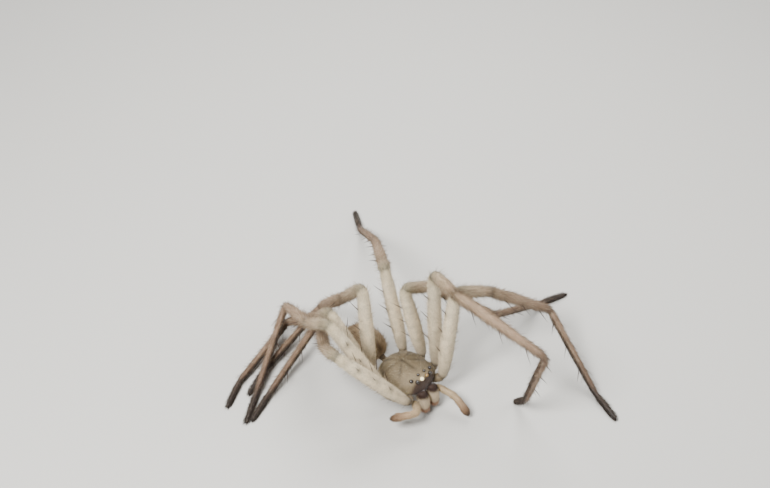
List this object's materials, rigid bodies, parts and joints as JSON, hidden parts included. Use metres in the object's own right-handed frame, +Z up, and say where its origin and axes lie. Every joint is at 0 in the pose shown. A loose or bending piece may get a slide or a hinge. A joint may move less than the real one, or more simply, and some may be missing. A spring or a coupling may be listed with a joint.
{
  "type": "huntsman spider",
  "caption": "Life-size still model of a large huntsman spider: flat domed body, small oval abdomen, and long legs spread crab-like to the sides with raised knees.",
  "frame": {"origin": "middle of the box's base, on the floor that the feet stand on", "axes": "+Z up, the spider faces -Y, its left side is at +X"},
  "size_m": [0.1026, 0.1152, 0.0429],
  "materials": {
    "leg_base": "short hair",
    "femur": "short hair",
    "shank": "short hair",
    "foot": "dense dark hair",
    "chelicera": "short hair over a hard shell",
    "fang": "polished horn",
    "palp": "short hair",
    "eye": "wet gloss",
    "carapace": "short hair over a hard shell",
    "abdomen": "short soft hair"
  },
  "bodies": {
    "root": {"l1_coxa": "leg_base", "l1_femur": "femur", "l1_patella_tibia": "shank", "l1_metatarsus": "shank", "l1_tarsus": "foot", "l2_coxa": "leg_base", "l2_femur": "femur", "l2_patella_tibia": "shank", "l2_metatarsus": "shank", "l2_tarsus": "foot", "l3_coxa": "leg_base", "l3_femur": "femur", "l3_patella_tibia": "shank", "l3_metatarsus": "shank", "l3_tarsus": "foot", "l4_coxa": "leg_base", "l4_femur": "femur", "l4_patella_tibia": "shank", "l4_metatarsus": "shank", "l4_tarsus": "foot", "r1_coxa": "leg_base", "r1_femur": "femur", "r1_patella_tibia": "shank", "r1_metatarsus": "shank", "r1_tarsus": "foot", "r2_coxa": "leg_base", "r2_femur": "femur", "r2_patella_tibia": "shank", "r2_metatarsus": "shank", "r2_tarsus": "foot", "r3_coxa": "leg_base", "r3_femur": "femur", "r3_patella_tibia": "shank", "r3_metatarsus": "shank", "r3_tarsus": "foot", "r4_coxa": "leg_base", "r4_femur": "femur", "r4_patella_tibia": "shank", "r4_metatarsus": "shank", "r4_tarsus": "foot", "chelicera_left": "chelicera", "fang_left": "fang", "palp_left": "palp", "eye_front_median_left": "eye", "eye_front_lateral_left": "eye", "eye_rear_median_left": "eye", "eye_rear_lateral_left": "eye", "chelicera_right": "chelicera", "fang_right": "fang", "palp_right": "palp", "eye_front_median_right": "eye", "eye_front_lateral_right": "eye", "eye_rear_median_right": "eye", "eye_rear_lateral_right": "eye", "prosoma": "carapace", "abdomen": "abdomen"}
  },
  "joints": []
}
